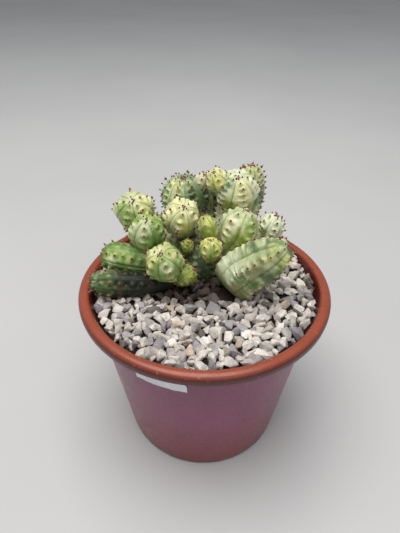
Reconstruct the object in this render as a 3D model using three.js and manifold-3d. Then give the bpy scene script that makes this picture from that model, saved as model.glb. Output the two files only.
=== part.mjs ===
// A potted variegated globe spurge: a clump of ribbed, spine-tipped stems on one old woody stem,
// growing out of crushed stone in a round nursery pot.
// Millimetres, +Z up. The origin is the centre of the pot's foot, and -Y is the front.
import * as THREE from 'three';
import { mergeVertices } from 'three/addons/utils/BufferGeometryUtils.js';
import Module from 'manifold-3d';

const wasm = await Module();
wasm.setup();

// Pot
const RIM_RADIUS = 52.5;
const POT_HEIGHT = 80;
const RIM_DROP = 4.4;
const RIM_WIDTH = 4.7;
const WALL = 0.7;
const WALL_TOP = { radius: 46.7, z: 75 };
const WALL_FOOT = { radius: 36.6, z: 2 };
const FOOT_RADIUS = 35.3;
const FLOOR_Z = 2.4;
const FLOOR_THICK = 1.2;
const POT_SEGMENTS = 48;
const NOTCHES = { count: 10, first: -31, width: 7.4, height: 1.8, depth: 5 };
const DRAINS = { count: 8, ring: 24, radius: 3 };

// Sticker, a bare price-gun label whose top is tucked under the rim
const STICKER = { width: 21, height: 11.6, thick: 0.4, notch: 1.2, low: 63, azimuth: -21, columns: 10 };

// Filling
const CLEARANCE = 0.3;
const CUT_ROOM = 0.5;
const SOIL_TOP = 64;
const SLAB_TOP = 75.8;
const SLAB_RADIUS = 45.8;
const SLAB_SEGMENTS = 32;
const STONE_SPACING = 6.45;
const STONE_JITTER = 1.5;
const STONE_GAP = 0.35;
const STONE_RISE = [1.2, 2.9];
const STONE_TILT = 0.22;
const STONE_TOP_SCALE = [0.55, 0.8];
const SHORT_EDGE = 1.9;
const SLIVER = 0.02;

// Surface of a stem, as shares of its radius. Its tubercles run from one step along it to another, and on
// each rib they start a share of their pitch further down than on the rib before.
const RIBBED = { start: 0.12, end: 1.42, shift: 0.4 };
const FURROW_DEPTH = 0.2;
const SADDLE_DEPTH = 0.09;
const TIP_DIMPLE = 0.1;
const SPINE = { radius: 0.45, length: 1.7, sunk: 0.9, lean: 0.3 };
const SPINE_ROOM = 1.3;
const STEPS_ALONG = [0.15, 0.35, 0.55, 0.75, 0.95, 1.1, 1.25, 1.4, 1.55, 1.7, 1.85];
const ENVELOPE = { columns: 8, steps: [0.3, 0.6, 0.86, 1.01, 1.12, 1.36, 1.64, 1.88], outer: 1.1 };

// The side of a stem that its ribs are counted from: down and to the front
const BELOW = new THREE.Vector3(0, -0.59, -0.81);

const GREEN = { color: 0x9fba7c, roughness: 0.55, metalness: 0 };
const CREAM = { color: 0xdfe0b4, roughness: 0.55, metalness: 0 };
const OLD_GREEN = { color: 0x5f7a58, roughness: 0.7, metalness: 0 };

// Stems: the middle of the widest ring, where the tip faces, the radius there, the reach to the tip,
// the ribs, the tubercles along a rib, the angle of one furrow and the boxiness. A stem with a base
// bends back to it there, and any other runs straight back by its tail.
const STEMS = [
  { name: 'stem_front', at: [-16.2, -3.4, 91.2], tip: [-0.16, -0.49, 0.86], radius: 8.3, reach: 8.5,
    base: [-6, 8, 81], ribs: 5, tubercles: 4, turn: -8, look: GREEN },
  { name: 'stem_right_lying', at: [18.5, -4.4, 90.2], tip: [0.66, -0.28, 0.7], radius: 10, reach: 19.8,
    base: [8.6, -5.6, 81], ribs: 5, tubercles: 6, turn: -108, look: CREAM, boxy: 0.85, taper: -0.1 },
  { name: 'stem_centre', at: [-10, 17.4, 100.8], tip: [0.15, -0.57, 0.81], radius: 8.2, reach: 9.4,
    base: [-4, 14, 83], ribs: 5, tubercles: 4, turn: -49, look: CREAM },
  { name: 'stem_right', at: [14.3, 12.9, 97.5], tip: [0.35, 0.09, 0.93], radius: 9, reach: 9.8,
    base: [4, 13, 82], ribs: 5, tubercles: 4, turn: -110, look: GREEN },
  { name: 'stem_left', at: [-24.3, 9.9, 97.1], tip: [0.03, -0.28, 0.96], radius: 8.3, reach: 8.6,
    base: [-8, 12, 82], ribs: 5, tubercles: 4, turn: -41, look: GREEN },
  { name: 'stem_upper_left', at: [-31.3, 25.4, 99], tip: [-0.01, -0.55, 0.83], radius: 9.3, reach: 9,
    base: [-8, 18, 80], ribs: 5, tubercles: 4, turn: 15, look: CREAM },
  { name: 'offset_top', at: [5.6, 31, 111], tip: [-0.4, -0.35, 0.85], radius: 5.8, reach: 6,
    tail: 6, ribs: 5, tubercles: 2, turn: 0, look: CREAM },
  { name: 'stem_back_right', at: [14.1, 32.3, 105.6], tip: [-0.02, -0.46, 0.89], radius: 10.4, reach: 10.5,
    base: [3, 20, 81], ribs: 5, tubercles: 5, turn: -89, look: GREEN },
  { name: 'stem_back_left', at: [-9.3, 37.2, 99.5], tip: [-0.07, -0.01, 1], radius: 11.2, reach: 11,
    base: [-3, 21, 80], ribs: 8, tubercles: 4, turn: 12, look: OLD_GREEN },
  { name: 'stem_left_lying', at: [-33.5, 5.6, 86.4], tip: [-0.98, 0.03, 0.21], radius: 7.4, reach: 10.9,
    base: [-8, 11, 79], ribs: 6, tubercles: 4, turn: 7, look: GREEN, boxy: 0.8, taper: 0.1 },
  { name: 'stem_left_low', at: [-35.2, -6.6, 82.7], tip: [-1, -0.05, 0.14], radius: 6, reach: 12,
    base: [-7, 7, 78.5], ribs: 6, tubercles: 4, turn: 60, look: OLD_GREEN, boxy: 0.75, taper: 0.05 },
  { name: 'stem_back_far', at: [21.4, 38.3, 103], tip: [-0.06, 0.04, 1], radius: 6.6, reach: 12.5,
    base: [7, 18, 80], ribs: 6, tubercles: 4, turn: 20, look: GREEN, boxy: 0.8 },
  { name: 'stem_far_right', at: [29.5, 21.7, 93.2], tip: [0.35, 0.03, 0.93], radius: 6.3, reach: 6.5,
    base: [8, 15, 80], ribs: 6, tubercles: 3, turn: 0, look: CREAM },
  { name: 'stem_behind_left', at: [-22.8, 33.8, 85.2], tip: [-0.4, 0.4, 0.8], radius: 6.6, reach: 7,
    base: [-7, 19, 79], ribs: 5, tubercles: 3, turn: 0, look: GREEN },
  { name: 'stem_behind_middle', at: [2.2, 39.5, 96.5], tip: [0.05, 0.1, 0.99], radius: 6, reach: 7,
    base: [0, 20.5, 79], ribs: 6, tubercles: 4, turn: 0, look: OLD_GREEN },
  { name: 'stem_behind_right', at: [29.5, 31.5, 85.6], tip: [0.5, 0.4, 0.77], radius: 5.8, reach: 6.5,
    base: [8, 20, 79], ribs: 5, tubercles: 3, turn: 0, look: GREEN },
  { name: 'offset_middle', at: [2.5, 4.1, 93], tip: [-0.06, -0.29, 0.95], radius: 5.2, reach: 6,
    base: [2.5, 7.5, 84], ribs: 5, tubercles: 3, turn: 0, look: CREAM },
  { name: 'offset_upper', at: [1, 9.4, 101], tip: [-0.37, 0.2, 0.9], radius: 4.3, reach: 5.2,
    base: [1, 10, 88], ribs: 5, tubercles: 2, turn: 0, look: GREEN },
  { name: 'offset_small', at: [-7.3, 8.1, 92], tip: [0.2, -0.5, 0.83], radius: 3.1, reach: 3.3,
    base: [-4, 11, 86], ribs: 5, tubercles: 2, turn: 0, look: GREEN },
  { name: 'offset_front', at: [-7.5, -3.2, 84.9], tip: [0.71, -0.11, 0.69], radius: 4.6, reach: 4.8,
    tail: 7, ribs: 5, tubercles: 2, turn: 0, look: CREAM },
  { name: 'offset_back', at: [-1.4, 36.5, 108], tip: [0.3, -0.2, 0.92], radius: 4, reach: 4.2,
    tail: 6, ribs: 5, tubercles: 2, turn: 0, look: CREAM },
];
const BENT = { taper: 0.35, boxy: 0.5, pull: 0.42 };

// The old stem, which the others grow from and which reaches down into the soil
const OLD_STEM = { name: 'old_stem', at: [0, 13, 82.5], tip: [0, 0, 1], radius: 9.6, reach: 12, tail: 24,
  ribs: 6, tubercles: 3, turn: 0, look: OLD_GREEN };

// Random draws, the same on each run
function drawsFrom(seed) {
  let state = seed;
  return (low = 0, high = 1) => {
    state = (state + 0x6d2b79f5) | 0;
    let mixed = Math.imul(state ^ (state >>> 15), 1 | state);
    mixed = (mixed + Math.imul(mixed ^ (mixed >>> 7), 61 | mixed)) ^ mixed;
    return low + (high - low) * (((mixed ^ (mixed >>> 14)) >>> 0) / 4294967296);
  };
}

// Closed geometry to solid and back
function solidOf(geometry) {
  const bare = geometry.clone();
  bare.deleteAttribute('normal');
  bare.deleteAttribute('uv');
  const merged = mergeVertices(bare, 1e-4);
  const index = merged.index.array;
  const corners = [];
  for (let i = 0; i < index.length; i += 3) {
    const [a, b, c] = [index[i], index[i + 1], index[i + 2]];
    if (a !== b && b !== c && c !== a) corners.push(a, b, c);
  }
  return new wasm.Manifold(new wasm.Mesh({
    numProp: 3,
    vertProperties: Float32Array.from(merged.attributes.position.array),
    triVerts: Uint32Array.from(corners),
  }));
}

function geometryOf(solid) {
  const { numProp, vertProperties, triVerts } = solid.getMesh();
  const points = [];
  for (let i = 0; i < vertProperties.length; i += numProp) {
    points.push(vertProperties[i], vertProperties[i + 1], vertProperties[i + 2]);
  }
  return geometryFrom(points, Array.from(triVerts));
}

function geometryFrom(points, corners) {
  const geometry = new THREE.BufferGeometry();
  geometry.setAttribute('position', new THREE.Float32BufferAttribute(points, 3));
  geometry.setIndex(corners);
  geometry.computeVertexNormals();
  return geometry;
}

// The largest body of a cut solid, without its loose scraps
function mainBody(solid) {
  return solid.decompose().reduce((best, body) => (body.volume() > best.volume() ? body : best));
}

// A profile of [radius, z] points turned about Z
function turned(profile, segments) {
  const lathe = new THREE.LatheGeometry(profile.map(([radius, z]) => new THREE.Vector2(radius, z)), segments);
  return lathe.rotateX(Math.PI / 2);
}

function wallRadius(z) {
  const slope = (WALL_TOP.radius - WALL_FOOT.radius) / (WALL_TOP.z - WALL_FOOT.z);
  return WALL_FOOT.radius + slope * (z - WALL_FOOT.z);
}

// A direction round the pot: 0 is the front, and it grows towards the right
function round(degrees, radius, z) {
  const angle = THREE.MathUtils.degToRad(degrees);
  return new THREE.Vector3(radius * Math.sin(angle), -radius * Math.cos(angle), z);
}

// Pot
function makePot() {
  const floorTop = FLOOR_Z + FLOOR_THICK;
  const inner = RIM_RADIUS - RIM_WIDTH;
  const skirt = POT_HEIGHT - RIM_DROP;
  const profile = [
    [0, FLOOR_Z],
    [FOOT_RADIUS - 2.2, FLOOR_Z],
    [FOOT_RADIUS - 1.4, 0],
    [FOOT_RADIUS, 0],
    [FOOT_RADIUS + 0.9, 0.7],
    [WALL_FOOT.radius, WALL_FOOT.z],
    [WALL_TOP.radius, WALL_TOP.z],
    [inner + 0.6, POT_HEIGHT - 2.2],
    [RIM_RADIUS - 1.4, POT_HEIGHT - 2],
    [RIM_RADIUS - 1.2, skirt],
    [RIM_RADIUS - 0.3, skirt],
    [RIM_RADIUS, POT_HEIGHT - 2.2],
    [RIM_RADIUS - 0.9, POT_HEIGHT - 0.6],
    [RIM_RADIUS - 2.3, POT_HEIGHT],
    [inner + 0.8, POT_HEIGHT - 0.4],
    [inner, POT_HEIGHT - 1.4],
    [WALL_TOP.radius - WALL, WALL_TOP.z],
    [wallRadius(floorTop) - WALL, floorTop],
    [0, floorTop],
  ];
  let pot = solidOf(turned(profile, POT_SEGMENTS));
  for (let i = 0; i < NOTCHES.count; i += 1) {
    const degrees = NOTCHES.first + (360 / NOTCHES.count) * i;
    const notch = new THREE.BoxGeometry(NOTCHES.width, NOTCHES.depth, 2 * NOTCHES.height);
    notch.rotateZ(THREE.MathUtils.degToRad(degrees));
    const at = round(degrees, FOOT_RADIUS, 0);
    pot = pot.subtract(solidOf(notch.translate(at.x, at.y, at.z)));
  }
  for (let i = 0; i < DRAINS.count; i += 1) {
    const hole = new THREE.CylinderGeometry(DRAINS.radius, DRAINS.radius, 4 * FLOOR_THICK, 8);
    hole.rotateX(Math.PI / 2);
    const at = round((360 / DRAINS.count) * i, DRAINS.ring, FLOOR_Z);
    pot = pot.subtract(solidOf(hole.translate(at.x, at.y, at.z)));
  }
  return geometryOf(pot);
}

// Sticker: a thin plate bent round the wall, with a nick in the middle of each short side
function makeSticker() {
  const { width, height, thick, notch, low, azimuth, columns } = STICKER;
  const plate = new THREE.BoxGeometry(width, thick, height, columns, 1, 2);
  const place = plate.attributes.position;
  const middle = wallRadius(low + height / 2);
  for (let i = 0; i < place.count; i += 1) {
    const atEnd = Math.abs(place.getX(i)) > width / 2 - 0.01;
    const atMiddle = Math.abs(place.getZ(i)) < 0.01;
    const x = place.getX(i) - (atEnd && atMiddle ? Math.sign(place.getX(i)) * notch : 0);
    const z = low + height / 2 + place.getZ(i);
    const radius = wallRadius(z) + CLEARANCE / 2 + thick / 2 - place.getY(i);
    const at = round(azimuth + THREE.MathUtils.radToDeg(x / middle), radius, z);
    place.setXYZ(i, at.x, at.y, at.z);
  }
  return geometryOf(solidOf(plate));
}

// A stem's own axes, along it to the tip and two across it, and the line that it follows to its base
function axesOf(stem) {
  const centre = new THREE.Vector3(...stem.at);
  const along = new THREE.Vector3(...stem.tip).normalize();
  const { down, side } = across(along, BELOW);
  const base = stem.base
    ? new THREE.Vector3(...stem.base)
    : centre.clone().addScaledVector(along, -stem.tail);
  const bend = centre.clone().addScaledVector(along, -BENT.pull * centre.distanceTo(base));
  return { centre, along, down, side, line: new THREE.QuadraticBezierCurve3(centre, bend, base) };
}

function across(along, reference) {
  const down = reference.clone().addScaledVector(along, -reference.dot(along)).normalize();
  return { down, side: along.clone().cross(down) };
}

// A ring of a stem's smooth form: step 0 is the tip, 1 the widest ring and 2 the base
function ringAt(stem, axes, step, grow = 0) {
  const ahead = step < 1;
  const theta = (Math.PI / 2) * (ahead ? step : 2 - step);
  const boxy = !ahead && stem.base ? BENT.boxy : stem.boxy ?? 1;
  const share = Math.abs(Math.cos(theta)) ** boxy;
  const width = Math.abs(Math.sin(theta)) ** boxy;
  if (ahead) {
    const dimple = TIP_DIMPLE * stem.radius * Math.exp(-((step / 0.22) ** 2));
    const centre = axes.centre.clone().addScaledVector(axes.along, share * (stem.reach + grow) - dimple);
    return { centre, radius: width * (stem.radius + grow), ...axes, centre };
  }
  const back = axes.line.getTangent(share).negate();
  const centre = axes.line.getPoint(share).addScaledVector(back, -grow * share);
  const radius = width * ((1 - (stem.base ? (stem.taper ?? BENT.taper) * share : 0)) * stem.radius + grow);
  return { centre, radius, along: back, ...across(back, axes.down) };
}

// A point on that form, at an angle round it
function onForm(ring, phi, scale = 1) {
  return ring.centre.clone()
    .addScaledVector(ring.down, scale * ring.radius * Math.cos(phi))
    .addScaledVector(ring.side, scale * ring.radius * Math.sin(phi));
}

// The way out of it there
function outOf(stem, ring, step, phi) {
  const lean = step < 1 ? Math.cos((Math.PI / 2) * step) / stem.reach : 0;
  const level = Math.sin((Math.PI / 2) * Math.min(step, 1)) / stem.radius;
  return ring.along.clone().multiplyScalar(lean)
    .addScaledVector(ring.down, level * Math.cos(phi))
    .addScaledVector(ring.side, level * Math.sin(phi))
    .normalize();
}

// Whether a point lies inside a stem's form, grown by a margin
function isInside(point, stem, margin) {
  const axes = axesOf(stem);
  return STEPS_ALONG.some((step) => {
    const ring = ringAt(stem, axes, step);
    return point.distanceTo(ring.centre) < ring.radius + margin;
  });
}

// A closed skin over rings of points between two poles
function skin(poleTip, rings, poleBase) {
  const columns = rings[0].length;
  const points = [poleTip, ...rings.flat(), poleBase].flatMap((p) => [p.x, p.y, p.z]);
  const last = 1 + rings.length * columns;
  const at = (ring, column) => 1 + ring * columns + (column % columns);
  const corners = [];
  for (let c = 0; c < columns; c += 1) {
    corners.push(0, at(0, c), at(0, c + 1));
    corners.push(last, at(rings.length - 1, c + 1), at(rings.length - 1, c));
    for (let r = 0; r + 1 < rings.length; r += 1) {
      corners.push(at(r, c), at(r + 1, c), at(r + 1, c + 1));
      corners.push(at(r, c), at(r + 1, c + 1), at(r, c + 1));
    }
  }
  return geometryFrom(points, corners);
}

// How far its tubercles start down a rib, or on average at the furrow between two, as a share of a pitch
function shiftOf(stem, rib) {
  const before = (RIBBED.shift * Math.floor(rib)) % 1;
  const after = (RIBBED.shift * (Math.ceil(rib) % stem.ribs)) % 1;
  return (before + after) / 2;
}

// The steps down a rib or furrow: two for each tubercle, then plain ones down to the base
function stepsOf(stem, rib) {
  const pitch = (RIBBED.end - RIBBED.start) / (stem.tubercles + 0.3);
  const ribbed = Array.from({ length: 2 * stem.tubercles }, (_, row) => (
    RIBBED.start + pitch * (row / 2 + shiftOf(stem, rib))
  ));
  return { ribbed, plain: stem.base ? [1.6, 1.86] : [1.8] };
}

function ribAngle(stem, rib) {
  return THREE.MathUtils.degToRad(stem.turn + (360 / stem.ribs) * (rib + 0.5));
}

// Where the tubercles end, each with its way out
function tipsOf(stem) {
  const axes = axesOf(stem);
  return Array.from({ length: stem.ribs }, (_, rib) => {
    const steps = stepsOf(stem, rib).ribbed.filter((step, row) => row % 2 === 0);
    const phi = ribAngle(stem, rib);
    return steps.map((step, row) => {
      const ring = ringAt(stem, axes, step);
      return { at: onForm(ring, phi), out: outOf(stem, ring, step, phi), row, rib };
    });
  }).flat();
}

// Ribs with a row of pointed tubercles on each
function ribbedSkin(stem) {
  const axes = axesOf(stem);
  const columns = Array.from({ length: 2 * stem.ribs }, (_, column) => {
    const rib = column / 2;
    const isFurrow = rib % 1 !== 0;
    const { ribbed, plain } = stepsOf(stem, rib);
    return [...ribbed, ...plain].map((step, row) => {
      const isTip = !isFurrow && row % 2 === 0 && row < ribbed.length;
      const sunk = isFurrow ? FURROW_DEPTH : SADDLE_DEPTH;
      return onForm(ringAt(stem, axes, step), ribAngle(stem, rib), isTip ? 1 : 1 - sunk);
    });
  });
  const rings = columns[0].map((_, row) => columns.map((column) => column[row]));
  return skin(ringAt(stem, axes, 0).centre, rings, ringAt(stem, axes, 2).centre);
}

// The smooth form with a margin round it, for cutting neighbours clear
function envelope(stem, grow) {
  const axes = axesOf(stem);
  const turns = Array.from({ length: ENVELOPE.columns }, (_, c) => (2 * Math.PI * c) / ENVELOPE.columns);
  const rings = ENVELOPE.steps.map((step) => {
    const ring = ringAt(stem, axes, step, grow);
    return turns.map((phi) => onForm(ring, phi, ENVELOPE.outer));
  });
  return solidOf(skin(ringAt(stem, axes, 0, 2 * grow).centre, rings, ringAt(stem, axes, 2, 2 * grow).centre));
}

function spineAt(tip, along) {
  const way = tip.out.clone().addScaledVector(along, SPINE.lean).normalize();
  const spine = new THREE.ConeGeometry(SPINE.radius, SPINE.length + SPINE.sunk, 3);
  spine.translate(0, (SPINE.length - SPINE.sunk) / 2, 0);
  spine.applyQuaternion(new THREE.Quaternion().setFromUnitVectors(new THREE.Vector3(0, 1, 0), way));
  return solidOf(spine.translate(tip.at.x, tip.at.y, tip.at.z));
}

// A spine stays where it reaches no neighbour, branch or stone
function isFree(stem, tip, others) {
  const end = tip.at.clone().addScaledVector(tip.out, SPINE.length);
  const middle = tip.at.clone().lerp(end, 0.5);
  const clear = end.z > SLAB_TOP + STONE_RISE[1] + 0.8;
  return clear && others.every((other) => (
    other === stem || !(isInside(end, other, SPINE_ROOM) || isInside(middle, other, SPINE_ROOM))
  ));
}

function makeStem(stem, earlier, all) {
  const { along } = axesOf(stem);
  const spines = tipsOf(stem)
    .filter((tip) => tip.row < stem.tubercles - 1)
    .filter((tip) => isFree(stem, tip, all))
    .map((tip) => spineAt(tip, along));
  return cutClear(wasm.Manifold.union([solidOf(ribbedSkin(stem)), ...spines]), earlier);
}

// A solid less the room of the stems that it meets
function cutClear(solid, stems) {
  const cutters = stems.map((stem) => envelope(stem, CUT_ROOM));
  const met = cutters.filter((cutter) => !cutter.intersect(solid).isEmpty());
  return met.length ? mainBody(wasm.Manifold.difference([solid, ...met])).simplify(SLIVER) : solid;
}

// Soil
function makeSoil(root) {
  const floor = FLOOR_Z + FLOOR_THICK + CLEARANCE;
  const profile = [
    [0, floor],
    [wallRadius(floor) - WALL - CLEARANCE, floor],
    [wallRadius(SOIL_TOP) - WALL - CLEARANCE, SOIL_TOP],
    [0, SOIL_TOP + 0.6],
  ];
  return geometryOf(solidOf(turned(profile, POT_SEGMENTS)).subtract(root));
}

// Cuts a flat convex outline down to the side of a line that holds the origin side
function clipped(outline, point, normal) {
  const kept = [];
  outline.forEach((a, i) => {
    const b = outline[(i + 1) % outline.length];
    const sideA = a.clone().sub(point).dot(normal);
    const sideB = b.clone().sub(point).dot(normal);
    if (sideA <= 0) kept.push(a);
    if (sideA * sideB < 0) kept.push(a.clone().lerp(b, sideA / (sideA - sideB)));
  });
  return kept;
}

function withoutShortEdges(outline) {
  return outline.filter((point, i) => point.distanceTo(outline[(i + 1) % outline.length]) > SHORT_EDGE);
}

// A regular outline about the pot's axis
function outline(radius) {
  return Array.from({ length: SLAB_SEGMENTS }, (_, i) => {
    const angle = (2 * Math.PI * i) / SLAB_SEGMENTS;
    return new THREE.Vector2(radius * Math.cos(angle), radius * Math.sin(angle));
  });
}

// The middles of the stones: a staggered grid, shaken
function stoneMiddles(draw) {
  const middles = [];
  const rowStep = STONE_SPACING * Math.sqrt(0.75);
  const rows = Math.ceil(SLAB_RADIUS / rowStep);
  for (let row = -rows; row <= rows; row += 1) {
    for (let column = -rows; column <= rows; column += 1) {
      const x = (column + (Math.abs(row) % 2) / 2) * STONE_SPACING + draw(-STONE_JITTER, STONE_JITTER);
      const y = row * rowStep + draw(-STONE_JITTER, STONE_JITTER);
      if (Math.hypot(x, y) < SLAB_RADIUS - 1) middles.push(new THREE.Vector2(x, y));
    }
  }
  return middles;
}

// One stone: the cell round its middle, raised to a smaller, tilted top
function stone(middle, middles, draw) {
  let cell = outline(SLAB_RADIUS - STONE_GAP);
  for (const other of middles) {
    const away = other.clone().sub(middle);
    const distance = away.length();
    if (distance > 0 && distance < 3 * STONE_SPACING) {
      away.divideScalar(distance);
      const line = middle.clone().addScaledVector(away, distance / 2 - STONE_GAP / 2);
      cell = clipped(cell, line, away);
    }
  }
  const foot = withoutShortEdges(cell);
  const heart = foot.reduce((sum, p) => sum.add(p), new THREE.Vector2()).divideScalar(foot.length);
  const rise = draw(...STONE_RISE);
  const shrink = draw(...STONE_TOP_SCALE);
  const tilt = new THREE.Vector2(draw(-STONE_TILT, STONE_TILT), draw(-STONE_TILT, STONE_TILT));
  const crown = foot.map((p) => {
    const offset = p.clone().sub(heart).multiplyScalar(shrink);
    return new THREE.Vector3(heart.x + offset.x, heart.y + offset.y, SLAB_TOP + rise + tilt.dot(offset));
  });
  return { foot, crown };
}

// The corners of a flat triangle, in the order that faces it up
function upward([a, b, c], points) {
  const turn = points[b].clone().sub(points[a]).cross(points[c].clone().sub(points[a]));
  return turn > 0 ? [a, b, c] : [a, c, b];
}

// A wall between two rings of as many points, the second above the first
function joinRings(corners, first, second, count) {
  for (let i = 0; i < count; i += 1) {
    const next = (i + 1) % count;
    corners.push(first + i, first + next, second + next, first + i, second + next, second + i);
  }
}

// A flat cap over a ring, facing up or down
function capRing(corners, first, count, up) {
  for (let i = 2; i < count; i += 1) {
    corners.push(first, first + i + (up ? -1 : 0), first + i + (up ? 0 : -1));
  }
}

// Gravel: a slab with a relief of crushed stones, open where the stems come through
function makeGravel(root) {
  const draw = drawsFrom(4172);
  const floor = SOIL_TOP + 0.6 + CLEARANCE;
  const low = outline(wallRadius(floor) - WALL - CLEARANCE);
  const edge = outline(SLAB_RADIUS);
  const middles = stoneMiddles(draw);
  const stones = middles.map((middle) => stone(middle, middles, draw)).filter(({ foot }) => foot.length > 2);
  const feet = stones.map(({ foot }) => foot);
  const ground = [edge, ...feet].flat();
  const points = ground.flatMap((p) => [p.x, p.y, SLAB_TOP]);
  const corners = THREE.ShapeUtils.triangulateShape(edge, feet).flatMap((face) => upward(face, ground));
  let first = edge.length;
  for (const { foot, crown } of stones) {
    joinRings(corners, first, points.length / 3, foot.length);
    capRing(corners, points.length / 3, foot.length, true);
    crown.forEach((p) => points.push(p.x, p.y, p.z));
    first += foot.length;
  }
  joinRings(corners, points.length / 3, 0, edge.length);
  capRing(corners, points.length / 3, edge.length, false);
  low.forEach((p) => points.push(p.x, p.y, floor));
  return geometryOf(cutClear(solidOf(geometryFrom(points, corners)).subtract(root), STEMS));
}

// Assembly
const plant = new THREE.Group();

function add(name, geometry, look) {
  const mesh = new THREE.Mesh(geometry, new THREE.MeshStandardMaterial(look));
  mesh.name = name;
  plant.add(mesh);
}

const rootRoom = envelope(OLD_STEM, CLEARANCE);
add('pot', makePot(), { color: 0xa8573e, roughness: 0.45, metalness: 0 });
add('sticker', makeSticker(), { color: 0xf1f1f4, roughness: 0.6, metalness: 0 });
add('soil', makeSoil(rootRoom), { color: 0x3d2f26, roughness: 0.95, metalness: 0 });
add('gravel', makeGravel(rootRoom), { color: 0xb4aca3, roughness: 0.9, metalness: 0 });
add('old_stem', geometryOf(cutClear(solidOf(ribbedSkin(OLD_STEM)), STEMS)), OLD_STEM.look);
STEMS.forEach((stem, i) => {
  add(stem.name, geometryOf(makeStem(stem, STEMS.slice(0, i), [...STEMS, OLD_STEM])), stem.look);
});

export default plant;
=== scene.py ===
# The looks of the potted variegated globe spurge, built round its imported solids. Lengths below are in
# millimetres, in the solids' own frame, and go to metres where a mesh, light or camera is made.
import math

import bmesh
import bpy
import numpy as np
from mathutils import Matrix, Vector


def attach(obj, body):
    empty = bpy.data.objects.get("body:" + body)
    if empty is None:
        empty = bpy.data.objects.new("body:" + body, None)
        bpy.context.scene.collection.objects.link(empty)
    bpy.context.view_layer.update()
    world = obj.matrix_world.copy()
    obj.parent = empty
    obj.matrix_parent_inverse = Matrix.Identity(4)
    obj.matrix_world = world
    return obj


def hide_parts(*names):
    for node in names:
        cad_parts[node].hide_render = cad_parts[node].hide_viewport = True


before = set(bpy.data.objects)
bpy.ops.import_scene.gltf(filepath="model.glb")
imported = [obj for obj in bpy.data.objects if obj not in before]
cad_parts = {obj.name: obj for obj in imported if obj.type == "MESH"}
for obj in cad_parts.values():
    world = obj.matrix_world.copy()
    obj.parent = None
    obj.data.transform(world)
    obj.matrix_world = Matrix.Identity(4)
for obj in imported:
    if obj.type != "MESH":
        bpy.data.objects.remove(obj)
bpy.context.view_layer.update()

MM = 0.001


def linear(r, g, b):
    """A colour given as screen values of 0 to 255, as linear light."""
    share = np.array([r, g, b], float) / 255
    return np.where(share <= 0.04045, share / 12.92, ((share + 0.055) / 1.055) ** 2.4)


# Camera, fitted to the rim, wall and foot of the pot in the photograph. FOCAL is in pixels of the picture.
ELEVATION = math.radians(36.34)
ROLL = math.radians(0.45)
FOCAL = 440.0
PICTURE_HEIGHT = 533.0
SENSOR = 36.0
EYE = np.array([-1.98, -146.74, 194.97])
BACK = np.array([0.0, -math.cos(ELEVATION), math.sin(ELEVATION)])
LEVEL = np.array([1.0, 0.0, 0.0])
UPRIGHT = np.array([0.0, math.sin(ELEVATION), math.cos(ELEVATION)])
RIGHT = math.cos(ROLL) * LEVEL + math.sin(ROLL) * UPRIGHT
UP = -math.sin(ROLL) * LEVEL + math.cos(ROLL) * UPRIGHT

# Light and floor, in metres and watts: two soft boxes and a weak sky. NEAREST is the camera's near clip.
KEY = {"place": (-0.1, -0.05, 1.0), "size": 0.8, "power": 9.0, "colour": (1.0, 0.98, 0.95)}
FILL = {"place": (0.3, -0.8, 0.6), "size": 0.8, "power": 1.0, "colour": (0.95, 0.98, 1.0)}
LIT_HEIGHT = 0.08
SKY = {"colour": (0.93, 0.96, 1.0, 1), "strength": 0.3}
FLOOR_HALF = 6.0
NEAREST = 0.005

# Pot and filling, as in the solids
RIM_RADIUS = 52.5
POT_HEIGHT = 80.0
WALL_TOP = (46.7, 75.0)
WALL_FOOT = (36.6, 2.0)
WALL = 0.7
FOOT_RADIUS = 35.3
FLOOR_Z = 2.4
FLOOR_THICK = 1.2
NOTCH = {"count": 10, "first": -31.0, "width": 7.4, "height": 1.8, "inset": 3.0}
DRAIN = {"count": 8, "ring": 24.0, "radius": 3.0, "depth": 6.0, "sides": 28}
STICKER = {"width": 21.0, "height": 11.6, "low": 63.0, "laid_at": 69.0, "azimuth": -21.0, "notch": 1.2}
BED_Z = 75.0
BED = {"rows": 40, "columns": 96, "radius": 46.0, "rise": 0.35, "narrow": 0.955, "foot": 65.0}

# Section of the pot: foot points go out from FOOT_RADIUS and up, rim points in from RIM_RADIUS and down
FLOOR_RINGS = (0.05, 12, 24)
FOOT_INSET = 2.4
FOOT_BEAD = [(-1.6, 0.3), (-1.3, 0.0), (-0.1, 0.0), (0.5, 0.25), (0.95, 0.9)]
WALL_ROWS = 26
RIM_UNDERSIDE = [(5.0, 3.6), (4.2, 2.6), (3.1, 2.1), (1.9, 2.1), (1.3, 2.8), (1.15, 4.1), (1.0, 4.4),
                 (0.4, 4.4), (0.2, 4.2)]
RIM_CURVE = [(0.05, 3.4), (0.0, 2.2), (0.2, 1.4), (0.9, 0.5), (2.0, 0.05), (2.9, 0.05), (3.8, 0.3),
             (4.4, 0.9), (4.7, 1.6)]
RIM_ROWS = 4
INNER_HEIGHTS = (70, 60, 45, 30, 15)
COLUMN_DEGREES = 2.25
NOTCH_EDGE = 0.15
COLUMN_ROOM = 0.8

# Paper of the sticker
PAPER_THICK = 0.16
PAPER_ROOM = 0.12
PAPER_LIFT = 0.25
PAPER_WAVE = 0.1
PAPER_GRID = (25, 61)
NICK_SHARE = 0.35

# Colours of the plant
PALE = linear(208, 218, 174)
GREEN = linear(158, 184, 106)
FERN = linear(106, 136, 70)
FRESH = linear(164, 178, 80)
LIME = linear(206, 210, 146)
CREAM = linear(236, 234, 184)
YELLOW = linear(230, 228, 140)
WHITE = linear(218, 224, 198)
PINKISH = linear(238, 226, 202)
OLIVE = linear(142, 150, 66)
DUSTY = linear(160, 162, 122)
BLUE_GREEN = linear(134, 160, 132)
DARK = linear(84, 108, 80)
MURK = linear(46, 58, 38)
MOSS = FERN * 0.45
DEEP = linear(44, 58, 38)
TAN = linear(160, 130, 84)

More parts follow.
